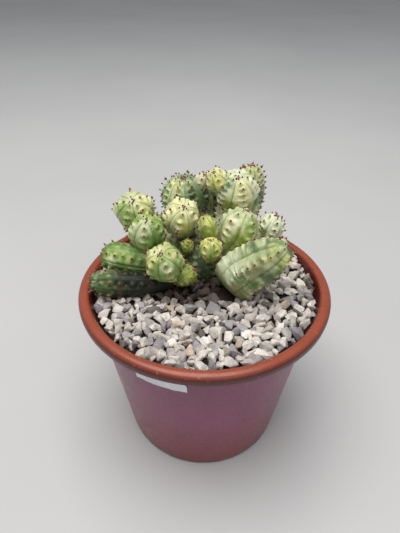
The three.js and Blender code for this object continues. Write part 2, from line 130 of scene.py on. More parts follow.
# Stems, as in the solids, and what holds for a stem that doesn't say otherwise. gap and first set the
# tubercles out along each rib, in mm from the tip and in gaps. Marks are patches of colour, each as far
# right and up of the stem's middle as the picture shows it, with its size and colour.
PLAIN = dict(ribs=5, turn=0, gap=3.0, first=0.3, bumpy=1.0, flat=0.3, corky=False, shaggy=0.0, lush=0.35,
             pale=0.35, dark_over=0.5, marks=[], old=False)
STEMS = [
    dict(name="stem_front", at=(-16.2, -3.4, 91.2), tip=(-0.16, -0.49, 0.86), radius=8.3, reach=8.5,
         base=(-6, 8, 81), turn=-8, gap=3.45, first=0.0, bumpy=1.6, ground=GREEN * 0.92,
         marks=[(-6, 3.4, 4.5, YELLOW), (-3, 6, 4.5, CREAM), (2, -2, 3.6, PALE), (3, 5, 3.6, LIME)]),
    dict(name="stem_right_lying", at=(18.5, -4.4, 90.2), tip=(0.66, -0.28, 0.7), radius=10, reach=19.8,
         base=(8.6, -5.6, 81), turn=-108, gap=3.3, boxy=0.85, taper=-0.1,
         ground=PALE, corky=True, flat=0.7, bumpy=0.65,
         marks=[(-8, 0, 11, WHITE), (-3, 6, 5, PALE), (-4, -6, 2.4, FERN), (1, -8, 3.2, FERN),
                (-6, -11, 6, DUSTY), (8.6, 3.4, 6, LIME), (1.5, -2, 4.5, DUSTY), (16, 2, 4, YELLOW),
                (12, 5.5, 4, LIME), (17, 7, 3.6, DARK), (0.5, 9.2, 3.6, DARK), (6, 9, 4, DARK),
                (11.5, 9.6, 3.4, FERN), (9, -6, 5, DARK), (14, -3, 3.6, FERN), (3, 10, 2.2, PALE),
                (8.5, 8.4, 2.2, LIME), (13.5, 8.4, 2.2, PALE), (4, 7, 1.8, PALE)]),
    dict(name="stem_centre", at=(-10, 17.4, 100.8), tip=(0.15, -0.57, 0.81), radius=8.2, reach=9.4,
         base=(-4, 14, 83), turn=-49, gap=4.05, first=0.15, bumpy=2.0, dark_from=1.08,
         dark_over=0.25, lush=0.1, pale=0.5, ground=CREAM * 1.08,
         marks=[(-4, 2, 4, CREAM), (5, 1, 4, CREAM), (1, -7, 5, YELLOW), (-5, -6, 4, PINKISH)]),
    dict(name="stem_right", at=(14.3, 12.9, 97.5), tip=(0.35, 0.09, 0.93), radius=9, reach=9.8,
         base=(4, 13, 82), turn=-110, gap=3.6, first=0.2, bumpy=1.2, ground=PALE,
         marks=[(-3, 3, 4, PINKISH), (0.5, -1, 3, PINKISH), (-1, -7.5, 5, OLIVE), (3, -5, 4, FRESH),
                (6, 1, 4.5, GREEN), (3, 7, 4, PALE), (-6, -1, 3, CREAM)]),
    dict(name="stem_left", at=(-24.3, 9.9, 97.1), tip=(0.03, -0.28, 0.96), radius=8.3, reach=8.6,
         base=(-8, 12, 82), turn=-41, gap=3.3, first=0.83, bumpy=1.2, ground=GREEN,
         marks=[(-4.6, 1, 5, PALE), (0, 4, 4, PALE), (5, -4, 5, FERN)]),
    dict(name="stem_upper_left", at=(-31.3, 25.4, 99), tip=(-0.01, -0.55, 0.83), radius=9.3, reach=9,
         base=(-8, 18, 80), turn=15, gap=3.4, bumpy=1.3, ground=PALE,
         marks=[(7, 0, 5, YELLOW), (6, 5, 5, CREAM), (-6, -2, 5, GREEN), (-10, -1, 3.4, CREAM),
                (0, -6, 5, GREEN)]),
    dict(name="offset_top", at=(5.6, 31, 111), tip=(-0.4, -0.35, 0.85), radius=5.8, reach=6,
         tail=6, gap=2.9, first=0.2, bumpy=1.4, ground=CREAM, marks=[(-1, -1, 4, YELLOW)]),
    dict(name="stem_back_right", at=(14.1, 32.3, 105.6), tip=(-0.02, -0.46, 0.89), radius=10.4,
         reach=10.5, base=(3, 20, 81), turn=-89, gap=2.82, first=0.31, bumpy=1.5, lush=0.12,
         pale=0.6, ground=WHITE * 1.12,
         marks=[(1, -3, 6.5, CREAM), (-4, 5, 4, BLUE_GREEN), (-7.5, 1, 3, BLUE_GREEN), (-5, -7, 4, FRESH),
                (5, 1, 5, CREAM), (6.5, -7.5, 3.4, GREEN)]),
    dict(name="stem_back_left", at=(-9.3, 37.2, 99.5), tip=(-0.07, -0.01, 1), radius=11.2, reach=11,
         base=(-3, 21, 80), ribs=8, turn=12, bumpy=2.2, ground=BLUE_GREEN,
         marks=[(-7, 3.5, 6, PALE), (-4.5, 7, 5, CREAM), (-7, -3, 5.5, PALE), (6, 0, 6, DARK),
                (3, -6, 4.5, DARK), (8, 6, 3.4, BLUE_GREEN)]),
    dict(name="stem_left_lying", at=(-33.5, 5.6, 86.4), tip=(-0.98, 0.03, 0.21), radius=7.4, reach=10.9,
         base=(-8, 11, 79), ribs=6, turn=7, gap=3.35, first=0.21, bumpy=1.6, boxy=0.8, taper=0.1,
         dark_from=1.05, dark_over=0.3, pale=0.25, ground=FERN * 0.92,
         marks=[(-6, 3, 4.5, GREEN), (-1, 1, 3.4, GREEN), (-7, -1, 2.6, PALE)]),
    dict(name="stem_left_low", at=(-35.2, -6.6, 82.7), tip=(-1, -0.05, 0.14), radius=6, reach=12,
         base=(-7, 7, 78.5), ribs=6, turn=60, gap=4.0, first=0.4, bumpy=2.6, boxy=0.75, taper=0.05,
         dark_from=0.86, dark_over=0.18, pale=0.3, ground=MURK,
         marks=[(-5, 3.6, 4, MOSS), (1, -2.5, 2.2, TAN), (-9, 0, 3, MOSS), (-11, 3, 3, DARK)]),
    dict(name="stem_back_far", at=(21.4, 38.3, 103), tip=(-0.06, 0.04, 1), radius=6.6, reach=12.5,
         base=(7, 18, 80), ribs=6, turn=20, gap=2.6, first=0.2, bumpy=1.6, boxy=0.8, shaggy=0.4,
         ground=PALE, marks=[(-1, 7, 5, LIME), (4, -4, 5, BLUE_GREEN)]),
    dict(name="stem_far_right", at=(29.5, 21.7, 93.2), tip=(0.35, 0.03, 0.93), radius=6.3, reach=6.5,
         base=(8, 15, 80), ribs=6, first=0.2, bumpy=1.7, lush=0.05, pale=0.4,
         ground=WHITE * 1.1, marks=[(0.5, 1.5, 5, WHITE * 1.1), (-4.5, -2.5, 2.4, FERN)]),
    dict(name="stem_behind_left", at=(-22.8, 33.8, 85.2), tip=(-0.4, 0.4, 0.8), radius=6.6, reach=7,
         base=(-7, 19, 79), gap=3.3, ground=GREEN),
    dict(name="stem_behind_middle", at=(2.2, 39.5, 96.5), tip=(0.05, 0.1, 0.99), radius=6, reach=7,
         base=(0, 20.5, 79), ribs=6, bumpy=2.0, ground=DARK,
         marks=[(-1, 2, 3, BLUE_GREEN)]),
    dict(name="stem_behind_right", at=(29.5, 31.5, 85.6), tip=(0.5, 0.4, 0.77), radius=5.8, reach=6.5,
         base=(8, 20, 79), gap=3.3, ground=GREEN),
    dict(name="offset_middle", at=(2.5, 4.1, 93), tip=(-0.06, -0.29, 0.95), radius=5.2, reach=6,
         base=(2.5, 7.5, 84), bumpy=1.4, ground=YELLOW,
         marks=[(0, -4, 4, FRESH)]),
    dict(name="offset_upper", at=(1, 9.4, 101), tip=(-0.37, 0.2, 0.9), radius=4.3, reach=5.2,
         base=(1, 10, 88), gap=3.2, bumpy=1.2, ground=FRESH,
         marks=[(1, 2, 2.6, YELLOW)]),
    dict(name="offset_small", at=(-7.3, 8.1, 92), tip=(0.2, -0.5, 0.83), radius=3.1, reach=3.3,
         base=(-4, 11, 86), gap=2.5, ground=FRESH),
    dict(name="offset_front", at=(-7.5, -3.2, 84.9), tip=(0.71, -0.11, 0.69), radius=4.6, reach=4.8,
         tail=7, ground=FRESH * 0.75, marks=[(2, 1, 2.6, FRESH)]),
    dict(name="offset_back", at=(-1.4, 36.5, 108), tip=(0.3, -0.2, 0.92), radius=4, reach=4.2,
         tail=6, gap=2.6, first=0.2, bumpy=1.3, ground=PINKISH),
]
OLD_STEM = dict(name="old_stem", at=(0, 13, 82.5), tip=(0, 0, 1), radius=9.6, reach=12, tail=24,
                ribs=6, gap=4.0, ground=DEEP, marks=[(-3, -2, 6, DARK)], old=True)

# Form of a stem. Steps run down it from its tip at 0, past its widest ring at 1, to its end at 2.
BENT_TAPER = 0.35
BENT_BOXY = 0.5
BENT_PULL = 0.42
BELOW = np.array([0, -0.59, -0.81])
TIP_DIMPLE = 0.1
DIMPLE_STEPS = 0.22
WAIST = 0.2
WAIST_STEPS = (1.0, 1.3)
LAST_STEP = 1.97
FINE_STEPS = 5000

# Tubercles along a rib, closer near the tip, and staggered from rib to rib
CROWN_GAP = 0.55
CROWN_LENGTH = 5
STAGGER = 0.4
MOST_ROWS = 24
RIB_END = 1.38
BARE_AFTER = 0.15

# Relief, as shares of the radius, of the room that a rib has and of the gap between tubercles
FURROW_FOLD = 0.04
FURROW_BOWL = 0.12
FURROW_GROOVE = 0.045
GROOVE_WIDTH = 0.1
RIDGE_WORN = 0.05
CREST = 0.3
SWAY = 0.006
SWAY_ROOM = (0.5, 0.1)
LIFT = 0.35
TUBERCLE = {"height": 0.14, "above": 0.38, "below": 0.5, "beside": 0.3, "power": 1.2, "row_top": 0.4}
TUBERCLE_LOSS = 0.4
LOSS_STEPS = (0.6, 1.4)
UNEVEN = 0.018
CROWN_STEPS = 0.45
BUMP_DRAWS = ((-0.07, 0.07), (-0.05, 0.05), (0.75, 1.15))

# Mesh of a stem: rows along its skin in mm, and columns for each rib
ROW_HEIGHT = 0.27
FIRST_ROW = 0.25
SMALL_RADIUS = 6
COLUMNS = {"small": 12, "five": 20, "more": 16}


# Random numbers and noise, the same on each run
class Lattice:
    """Smooth noise of -1 to 1 on a seeded lattice of points."""

    def __init__(self, seed, size=32):
        self.size = size
        self.values = np.random.default_rng(seed).uniform(-1, 1, (size, size, size))

    def __call__(self, points):
        low = np.floor(points).astype(int)
        part = points - low
        part = part * part * (3 - 2 * part)
        total = 0
        for corner in np.ndindex(2, 2, 2):
            at = (low + corner) % self.size
            weight = np.prod(np.where(np.array(corner) == 1, part, 1 - part), axis=-1)
            total = total + weight * self.values[at[..., 0], at[..., 1], at[..., 2]]
        return total


broad_noise = Lattice(11)
fine_noise = Lattice(12)
edge_noise = Lattice(13)


def smooth(low, high, value):
    share = np.clip((value - low) / (high - low), 0, 1)
    return share * share * (3 - 2 * share)


def unit(vectors):
    return vectors / np.linalg.norm(vectors, axis=-1, keepdims=True)


def mixed(first, second, share):
    return first + (second - first) * share[..., None]


# Meshes
def make_piece(name, points, faces, material, colours=None, is_smooth=True):
    mesh = bpy.data.meshes.new(name)
    mesh.from_pydata((np.asarray(points) * MM).tolist(), [], [list(map(int, face)) for face in faces])
    if colours is not None:
        layer = mesh.color_attributes.new("tint", "FLOAT_COLOR", "POINT")
        filled = np.concatenate([colours, np.ones((len(colours), 1))], axis=1)
        layer.data.foreach_set("color", filled.astype(np.float32).ravel())
    mesh.materials.append(material)
    mesh.polygons.foreach_set("use_smooth", np.full(len(mesh.polygons), is_smooth))
    mesh.update()
    piece = bpy.data.objects.new(name, mesh)
    bpy.context.collection.objects.link(piece)
    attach(piece, "root")
    return piece


def grid_faces(rows, columns, first=0, closed=True):
    """Quads over rows of points, each row of as many columns."""
    span = columns if closed else columns - 1
    row, column = np.meshgrid(np.arange(rows - 1), np.arange(span), indexing="ij")
    after = (column + 1) % columns
    faces = np.stack([row * columns + column, (row + 1) * columns + column,
                      (row + 1) * columns + after, row * columns + after], axis=-1)
    return (first + faces.reshape(-1, 4)).tolist()


# Node materials
def new_material(name):
    material = bpy.data.materials.new(name)
    material.use_nodes = True
    tree = material.node_tree
    return material, tree, tree.nodes["Principled BSDF"]


def add_node(tree, kind, **settings):
    node = tree.nodes.new(kind)
    for key, value in settings.items():
        setattr(node, key, value)
    return node


def feed(node, name, value):
    """Sets an input of a node: by a link from an output, or to a number, a tuple or a colour."""
    socket = node.inputs[name]
    if isinstance(value, bpy.types.NodeSocket):
        node.id_data.links.new(value, socket)
    else:
        socket.default_value = (*value, 1) if isinstance(value, np.ndarray) else value


def noise_of(tree, scale, detail=4.0, roughness=0.6):
    node = add_node(tree, "ShaderNodeTexNoise")
    feed(node, "Scale", scale)
    feed(node, "Detail", detail)
    feed(node, "Roughness", roughness)
    feed(node, "Vector", add_node(tree, "ShaderNodeTexCoord").outputs["Object"])
    return node.outputs["Fac"]


def ramp_of(tree, source, stops):
    node = add_node(tree, "ShaderNodeValToRGB")
    elements = node.color_ramp.elements
    while len(elements) < len(stops):
        elements.new(0.5)
    for element, (place, colour) in zip(elements, stops):
        element.position = place
        element.color = (*colour, 1)
    feed(node, "Fac", source)
    return node.outputs["Color"]


def grey(value):
    return (value, value, value)


def greys(tree, low, high, **noise):
    """Greys from low to high, spread by a noise."""
    return ramp_of(tree, noise_of(tree, **noise), [(0.3, grey(low)), (0.7, grey(high))])


def mix_of(tree, first, second, share=1.0, kind="MULTIPLY"):
    node = add_node(tree, "ShaderNodeMix", data_type="RGBA", blend_type=kind)
    for place, value in ((0, share), (6, first), (7, second)):
        feed(node, place, value)
    return node.outputs[2]


def bump_of(tree, strength, distance, after=None, **noise):
    """Normals of a skin that a noise raises, on top of those of an earlier bump."""
    node = add_node(tree, "ShaderNodeBump")
    feed(node, "Strength", strength)
    feed(node, "Distance", distance)
    feed(node, "Height", noise_of(tree, **noise))
    if after is not None:
        feed(node, "Normal", after)
    return node.outputs["Normal"]


def dress(shader, colour, roughness, normals):
    feed(shader, "Base Color", colour)
    feed(shader, "Roughness", roughness)
    feed(shader, "Normal", normals)


def tint_of(tree):
    node = add_node(tree, "ShaderNodeAttribute", attribute_name="tint")
    return node.outputs["Color"]


def skin_material():
    material, tree, shader = new_material("plant_skin")
    mottle = greys(tree, 0.82, 1.12, scale=420, detail=5, roughness=0.65)
    speckle = ramp_of(tree, noise_of(tree, scale=1900, detail=2, roughness=0.5),
                      [(0.35, (0.93, 0.96, 0.88)), (0.65, (1.04, 1.03, 1.02))])
    colour = mix_of(tree, tint_of(tree), mottle)
    colour = mix_of(tree, colour, speckle)
    rough = greys(tree, 0.42, 0.6, scale=600, detail=3)
    fine = bump_of(tree, strength=0.25, distance=0.0001, scale=2600, detail=3)
    both = bump_of(tree, strength=0.3, distance=0.0003, after=fine, scale=700, detail=3)
    dress(shader, colour, rough, both)
    feed(shader, "Subsurface Weight", 0.35)
    feed(shader, "Subsurface Radius", (0.002, 0.0024, 0.0009))
    feed(shader, "Subsurface Scale", 1.0)
    feed(shader, "Specular IOR Level", 0.35)
    return material


def spine_material():
    material, tree, shader = new_material("spine")
    shade = greys(tree, 0.75, 1.2, scale=1500, detail=2)
    grain = bump_of(tree, strength=0.3, distance=0.00005, scale=4000, detail=2)
    dress(shader, mix_of(tree, tint_of(tree), shade), 0.55, grain)
    return material


def old_material():
    material, tree, shader = new_material("old_skin")
    bark = greys(tree, 0.55, 1.3, scale=500, detail=6, roughness=0.7)
    cracks = bump_of(tree, strength=0.6, distance=0.0005, scale=900, detail=6, roughness=0.7)
    dress(shader, mix_of(tree, tint_of(tree), bark), 0.8, cracks)
    return material


def stone_material():
    material, tree, shader = new_material("crushed_stone")
    dust = ramp_of(tree, noise_of(tree, scale=350, detail=6, roughness=0.7),
                   [(0.28, (0.62, 0.6, 0.58)), (0.6, (1.1, 1.08, 1.05))])
    grain = greys(tree, 0.84, 1.1, scale=2200, detail=3)
    colour = mix_of(tree, tint_of(tree), dust)
    fine = bump_of(tree, strength=0.35, distance=0.0002, scale=1800)
    both = bump_of(tree, strength=0.4, distance=0.0008, after=fine, scale=450)
    dress(shader, mix_of(tree, colour, grain), 0.85, both)
    return material


def soil_material():
    material, tree, shader = new_material("potting_soil")
    clods = ramp_of(tree, noise_of(tree, scale=500, detail=8, roughness=0.75),
                    [(0.3, linear(28, 21, 17)), (0.55, linear(58, 43, 33)), (0.75, linear(96, 74, 56))])
    crumbs = bump_of(tree, strength=0.9, distance=0.0015, scale=600, detail=8, roughness=0.75)
    dress(shader, clods, 0.95, crumbs)
    return material


def pot_colour(tree):
    """The pot's colour by height: its foot, darker towards the bottom; its wall, a plum that is the
    terracotta plastic with painted shade and painted bluish sky light; painted shade on the rim's outer
    side, under it and just inside it; and the rim.
    """
    height = add_node(tree, "ShaderNodeSeparateXYZ")
    feed(height, 0, add_node(tree, "ShaderNodeTexCoord").outputs["Object"])
    level = add_node(tree, "ShaderNodeMapRange")
    feed(level, "From Min", 0.0)
    feed(level, "From Max", POT_HEIGHT * MM)
    feed(level, "Value", height.outputs["Z"])
    return ramp_of(tree, level.outputs["Result"],
                   [(0.006, linear(84, 40, 38)), (0.04, linear(130, 50, 52)), (0.5, linear(136, 68, 98)),
                    (0.9, linear(134, 68, 96)), (0.94, linear(72, 24, 22)), (0.98, linear(88, 30, 24)),
                    (0.996, linear(158, 76, 54))])


def pot_material():
    material, tree, shader = new_material("pot_plastic")
    cloud = greys(tree, 0.86, 1.1, scale=40, detail=5)
    colour = mix_of(tree, pot_colour(tree), cloud)
    dust = ramp_of(tree, noise_of(tree, scale=900, detail=2, roughness=0.5),
                   [(0.66, grey(0.0)), (0.74, grey(0.35))])
    colour = mix_of(tree, colour, linear(206, 176, 160), share=dust, kind="MIX")
    specks = ramp_of(tree, noise_of(tree, scale=520, detail=1, roughness=0.4),
                     [(0.17, grey(0.75)), (0.24, grey(0.0))])
    colour = mix_of(tree, colour, linear(56, 30, 26), share=specks, kind="MIX")
    rough = greys(tree, 0.24, 0.4, scale=300, detail=5, roughness=0.7)
    dress(shader, colour, rough, bump_of(tree, strength=0.12, distance=0.0002, scale=1200))
    feed(shader, "Specular IOR Level", 0.5)
    return material


def sticker_material():
    material, tree, shader = new_material("label_paper")
    fibres = ramp_of(tree, noise_of(tree, scale=700, detail=6, roughness=0.7),
                     [(0.3, linear(222, 222, 228)), (0.7, linear(246, 246, 250))])
    dress(shader, fibres, 0.6, bump_of(tree, strength=0.2, distance=0.0001, scale=1500))
    return material


SKIN = skin_material()
SPINE = spine_material()
OLD_SKIN = old_material()
STONE = stone_material()
SOIL = soil_material()
PLASTIC = pot_material()
PAPER = sticker_material()


# Stems
def across(along, reference):
    down = unit(reference - along * np.sum(reference * along, axis=-1, keepdims=True))
    return down, np.cross(along, down)


def stem_line(stem):
    centre = np.array(stem["at"], float)
    along = unit(np.array(stem["tip"], float))
    base = np.array(stem["base"], float) if "base" in stem else centre - along * stem["tail"]
    bend = centre - along * BENT_PULL * np.linalg.norm(centre - base)
    return centre, along, bend, base


def rings_of(stem, steps):
    """The rings of a stem's smooth form: 0 is the tip, 1 the widest ring and 2 the base."""
    centre, along, bend, base = stem_line(stem)
    down = across(along, BELOW)[0]
    steps = np.asarray(steps, float)
    ahead = steps < 1
    theta = np.pi / 2 * np.where(ahead, steps, 2 - steps)
    boxy = stem.get("boxy", 1.0)
    power = np.where(ahead, boxy, BENT_BOXY if "base" in stem else boxy)
    share = np.abs(np.cos(theta)) ** power
    width = np.abs(np.sin(theta)) ** power
    dimple = TIP_DIMPLE * stem["radius"] * np.exp(-((steps / DIMPLE_STEPS) ** 2))
    front = centre + along * (share * stem["reach"] - dimple)[:, None]
    t = share[:, None]
    bent = (1 - t) ** 2 * centre + 2 * (1 - t) * t * bend + t ** 2 * base
    tangent = unit(2 * (1 - t) * (bend - centre) + 2 * t * (base - bend))
    ways = np.where(ahead[:, None], along, -tangent)
    downs, sides = across(ways, np.broadcast_to(down, ways.shape))
    taper = stem.get("taper", BENT_TAPER) if "base" in stem else 0
    radii = width * stem["radius"] * np.where(ahead, 1, 1 - taper * share)
    if "base" in stem and "taper" not in stem:
        radii = radii * (1 - WAIST * smooth(*WAIST_STEPS, steps))
    turn = np.pi / 2 * np.minimum(steps, 1)
    lean = np.where(ahead, np.cos(turn) / stem["reach"], 0)
    return {"centre": np.where(ahead[:, None], front, bent), "radius": radii, "down": downs, "side": sides,
            "along": ways, "lean": lean, "level": np.sin(turn) / stem["radius"]}


def on_form(rings, phi):
    """Points on the rings at the angles phi, an array of rows by columns, with the ways out there."""
    way = (rings["down"][:, None] * np.cos(phi)[..., None] + rings["side"][:, None] * np.sin(phi)[..., None])
    points = rings["centre"][:, None] + way * rings["radius"][:, None, None]
    out = unit(way * rings["level"][:, None, None] + rings["along"][:, None] * rings["lean"][:, None, None])
    return points, out


def measure(stem):
    """Close steps down a stem from its tip, with the length along its skin to each."""
    steps = np.linspace(0, LAST_STEP, FINE_STEPS)
    rings = rings_of(stem, steps)
    ahead = np.linalg.norm(np.diff(rings["centre"], axis=0), axis=1)
    return steps, np.concatenate([[0], np.cumsum(np.hypot(ahead, np.diff(rings["radius"])))])


def count_down(stem):
    """Steps down a stem from its tip, with how many gaps between tubercles lie above each."""
    steps, length = measure(stem)
    gaps = stem["gap"] * (CROWN_GAP + (1 - CROWN_GAP) * smooth(0, CROWN_LENGTH, length))
    shares = np.diff(length) * 2 / (gaps[1:] + gaps[:-1])
    return steps, np.concatenate([[0], np.cumsum(shares)])


def tubercle_height(stem, steps):
    """How far tubercles stand out at the steps, as a share of the stem's radius."""
    loss = TUBERCLE_LOSS * smooth(*LOSS_STEPS, steps)
    return TUBERCLE["height"] * stem["bumpy"] * (1 - loss)


def swayed(place, phase, ribs):
    """Places round a stem, pushed aside so that its furrows wind between the tubercles."""
    border = np.round(place)
    before = STAGGER * ((border - 1) % ribs) % 1
    after = STAGGER * (border % ribs) % 1
    push = SWAY * (np.cos(2 * np.pi * (phase - after)) - np.cos(2 * np.pi * (phase - before)))
    return (place + push * smooth(*SWAY_ROOM, np.abs(place - border))) % ribs


def face_depth(ribs, offset, flat):
    """How deep a rib's faces lie beside its ridge: as flat as the share flat says, and else as bowls."""
    half = math.pi / ribs
    low = math.cos(half) - FURROW_FOLD
    theta = 2 * half * (np.sqrt(offset ** 2 + RIDGE_WORN ** 2) - RIDGE_WORN)
    chord = low * math.sin(half) / (low * np.sin(half - theta) + np.sin(theta))
    return flat * (1 - chord) + (1 - flat) * FURROW_BOWL * (2 * offset) ** 2


def relief(stem, steps, place, bumps):
    """How deep each point lies under the smooth form, as a share of the radius, with the features there.
    place counts ribs round the stem, with a furrow at each whole number and a ridge between two."""
    ribs = stem["ribs"]
    phase = np.interp(steps, *count_down(stem))[:, None] - stem["first"]
    place = swayed(place, phase, ribs)
    rib = np.floor(place).astype(int) % ribs
    offset = place - np.floor(place) - 0.5
    lag = STAGGER * rib % 1
    row = np.floor(phase - lag + TUBERCLE["row_top"]).astype(int)
    bump = bumps[rib, np.clip(row, 0, MOST_ROWS - 1)]
    behind = phase - lag - row - bump[..., 0]
    beside = offset - bump[..., 1]
    reach = np.where(behind < 0, behind / TUBERCLE["above"], behind / TUBERCLE["below"])
    spread = np.sqrt((beside / TUBERCLE["beside"]) ** 2 + reach ** 2)
    swell = np.clip(1 - spread, 0, 1) ** TUBERCLE["power"] * bump[..., 2] * (row >= 0)
    edge = np.abs(2 * offset)
    groove = np.exp(-(((1 - edge) / GROOVE_WIDTH) ** 2))
    dip = (1 - swell) * np.exp(-((offset / CREST) ** 2)) - LIFT
    depth = (face_depth(ribs, offset, stem["flat"]) + FURROW_GROOVE * groove
             + tubercle_height(stem, steps)[:, None] * dip)
    return {"depth": depth, "groove": groove, "swell": swell, "behind": behind, "beside": beside,
            "rib": rib, "edge": edge, "phase": phase + 0 * offset}


# A mark lies on the skin within so many mm of its aim, or a little further than the nearest point
AIM = 1.0
AIM_ROOM = 0.3

# Colour of the skin: the share of each colour that is laid on, the radii of a patch between which it
# fades, and how many streaks lie round a rib and along each gap between tubercles
PATCH_COVER = 0.9
PATCH_EDGE = (0.55, 1.3)
RIB_CREAM = 0.4
STREAKS = (9.0, 0.7)
STREAK_SHADE = 0.09
STREAK_GREEN = 0.35
CORKY_STREAKS = (1.6, 4.2)
CORKY_GREEN = 0.5
PALE_TOP = 0.35
OLIVE_SPOT = 0.5
LINE_GREEN = 0.75
EDGE_GREEN = 0.6
# The skin darkens from this step down: partly older skin, partly painted shade low in the clump.
DARK_FROM = 1.15
FOOT_CLOUD = 0.25
EDGE_CLOUD = 0.08


def in_picture(points):
    """How far right and up the points lie in the picture, at 1 mm of depth, and how deep they lie."""
    depth = (EYE - points) @ BACK
    return np.stack([(points - EYE) @ RIGHT / depth, (points - EYE) @ UP / depth, depth], axis=-1)


def marked_point(stem, points, right, up):
    """The point of a stem's skin in front, as many mm right and up of its middle as the picture shows."""
    middle = in_picture(np.array(stem["at"], float))
    seen = in_picture(points)
    sideways = seen[:, 0] - middle[0] - right / middle[2]
    upward = seen[:, 1] - middle[1] - up / middle[2]
    away = np.hypot(sideways, upward) * middle[2]
    near = np.nonzero(away < max(AIM, away.min() + AIM_ROOM))[0]
    return points[near[np.argmin(seen[near, 2])]]


def patched(stem, points, colour, shift):
    """The skin with its marks, as patches with ragged edges."""
    for right, up, size, mark in stem["marks"]:
        middle = marked_point(stem, points.reshape(-1, 3), right, up)
        away = np.linalg.norm(points - middle, axis=-1) / size
        ragged = away + 0.45 * edge_noise(points * 0.5 + shift) + 0.25 * fine_noise(points * 1.3)
        colour = mixed(colour, mark, PATCH_COVER - PATCH_COVER * smooth(*PATCH_EDGE, ragged))
    return colour


def streaked(stem, features, colour, seed):
    """The skin with green streaks: along the ribs, or across them where it is corky."""
    around, along = CORKY_STREAKS if stem["corky"] else STREAKS
    green = CORKY_GREEN if stem["corky"] else STREAK_GREEN * stem["lush"]
    turned = (features["rib"] + features["beside"]) * around
    streak = fine_noise(np.stack([turned, features["phase"] * along,
                                  np.full_like(turned, seed * 1.3)], axis=-1))
    colour = colour * (1 + STREAK_SHADE * streak[..., None])
    return mixed(colour, FERN, green * smooth(0.1, 0.5, streak))


def touched(features, colour):
    """The skin with pale tops on its tubercles, and an olive spot under each."""
    behind, beside = features["behind"], features["beside"]
    is_on = features["swell"] > 0
    top = np.clip(1 - np.abs(behind) / 0.3, 0, 1) * np.clip(1 - np.abs(beside) / 0.2, 0, 1)
    colour = mixed(colour, CREAM, PALE_TOP * top * is_on)
    below = np.exp(-(((behind - 0.2) / 0.15) ** 2) - ((beside / 0.15) ** 2))
    return mixed(colour, OLIVE, OLIVE_SPOT * below * is_on)


def tinted(stem, points, features, steps, seed):
    """The colour of each point of a stem's skin, laid on one thing after another."""
    shift = seed * np.array([3.1, 1.7, 2.3])
    cloud = broad_noise(points * 0.16 + shift)
    pale_rib = np.random.default_rng(500 + seed).uniform(0, 1, stem["ribs"])[features["rib"]]
    ground = np.broadcast_to(stem["ground"], points.shape)
    colour = mixed(ground, CREAM, RIB_CREAM * pale_rib * smooth(-0.2, 0.6, cloud))
    colour = patched(stem, points, colour, shift)
    flecks = fine_noise(points * 0.6 + shift[::-1])
    colour = mixed(colour, FERN, stem["lush"] * smooth(0.15, 0.7, flecks))
    colour = mixed(colour, CREAM, stem["pale"] * smooth(-0.15, -0.7, flecks))
    colour = streaked(stem, features, colour, seed)
    colour = touched(features, colour)
    upper = smooth(1.5, 0.9, steps)[:, None]
    breaks = smooth(-0.45, 0.35, fine_noise(points * 0.35 + 2 * shift))
    line = features["groove"] ** 3 * (0.2 + 0.8 * breaks) * (0.3 + 0.7 * upper)
    colour = mixed(colour, FERN * 0.5, LINE_GREEN * line)
    colour = mixed(colour, FERN, EDGE_GREEN * stem["lush"] * smooth(0.5, 1.0, features["edge"]))
    # Darker towards the stem's end: older skin and painted shade low in the clump; a stem that gives
    # dark_from goes nearly black there, painted shade over its hidden lower part with some soil stain.
    dark_from = stem.get("dark_from", DARK_FROM)
    foot, patchy = (MURK * 0.2, EDGE_CLOUD) if "dark_from" in stem else (OLIVE * 0.35, FOOT_CLOUD)
    aged_and_shaded = smooth(dark_from, dark_from + stem["dark_over"], steps)[:, None] * (1 - patchy + patchy * cloud)
    return mixed(colour, foot, aged_and_shaded)


# Spines: radius and height of each ring as shares of the size, and how far its colour is from foot to end
SPINE_RINGS = [(0.4, -0.4), (0.44, 0.05), (0.36, 0.22), (0.15, 0.36), (0.09, 0.7), (0.03, 1.1)]
SPINE_SHADES = [0, 0, 0.05, 0.3, 0.7, 1.0]
SPINE_SIDES = 7
SPINE_LEAN = 0.35
SPINE_SIZE = (0.8, 1.12)
SMALL_SPINES = 0.8
TWIN = {"chance": 0.4, "step": 0.03, "beside": 0.08, "size": 0.7}
CROWN = {"more": 3, "step": 0.055, "spread": (0.4, 1.6), "size": (0.55, 0.8)}
EYE_RED = linear(112, 30, 26)
TIP_RED = linear(180, 80, 74)
TIP_PINK = linear(226, 170, 158)
DRY_FOOT = linear(138, 92, 78)
DRY_TIP = linear(222, 204, 196)


def spine_points(root, out, lean, size, draw):
    """A thin cone on a broad foot, which leans a little to the stem's tip."""
    way = unit(out + lean * SPINE_LEAN + draw.uniform(-0.15, 0.15, 3))
    first = unit(np.cross(way, [0.3, 0.5, 0.8]))
    second = np.cross(way, first)
    turns = np.arange(SPINE_SIDES) * 2 * np.pi / SPINE_SIDES
    circle = np.cos(turns)[:, None] * first + np.sin(turns)[:, None] * second
    return np.concatenate([root + way * height * size + radius * size * circle
                           for radius, height in SPINE_RINGS])


def drawn_bumps(ribs, seed):
    """How far each tubercle is off along and beside its rib, and how high it is."""
    draw = np.random.default_rng(100 + seed)
    return np.stack([draw.uniform(low, high, (ribs, MOST_ROWS)) for low, high in BUMP_DRAWS], axis=-1)


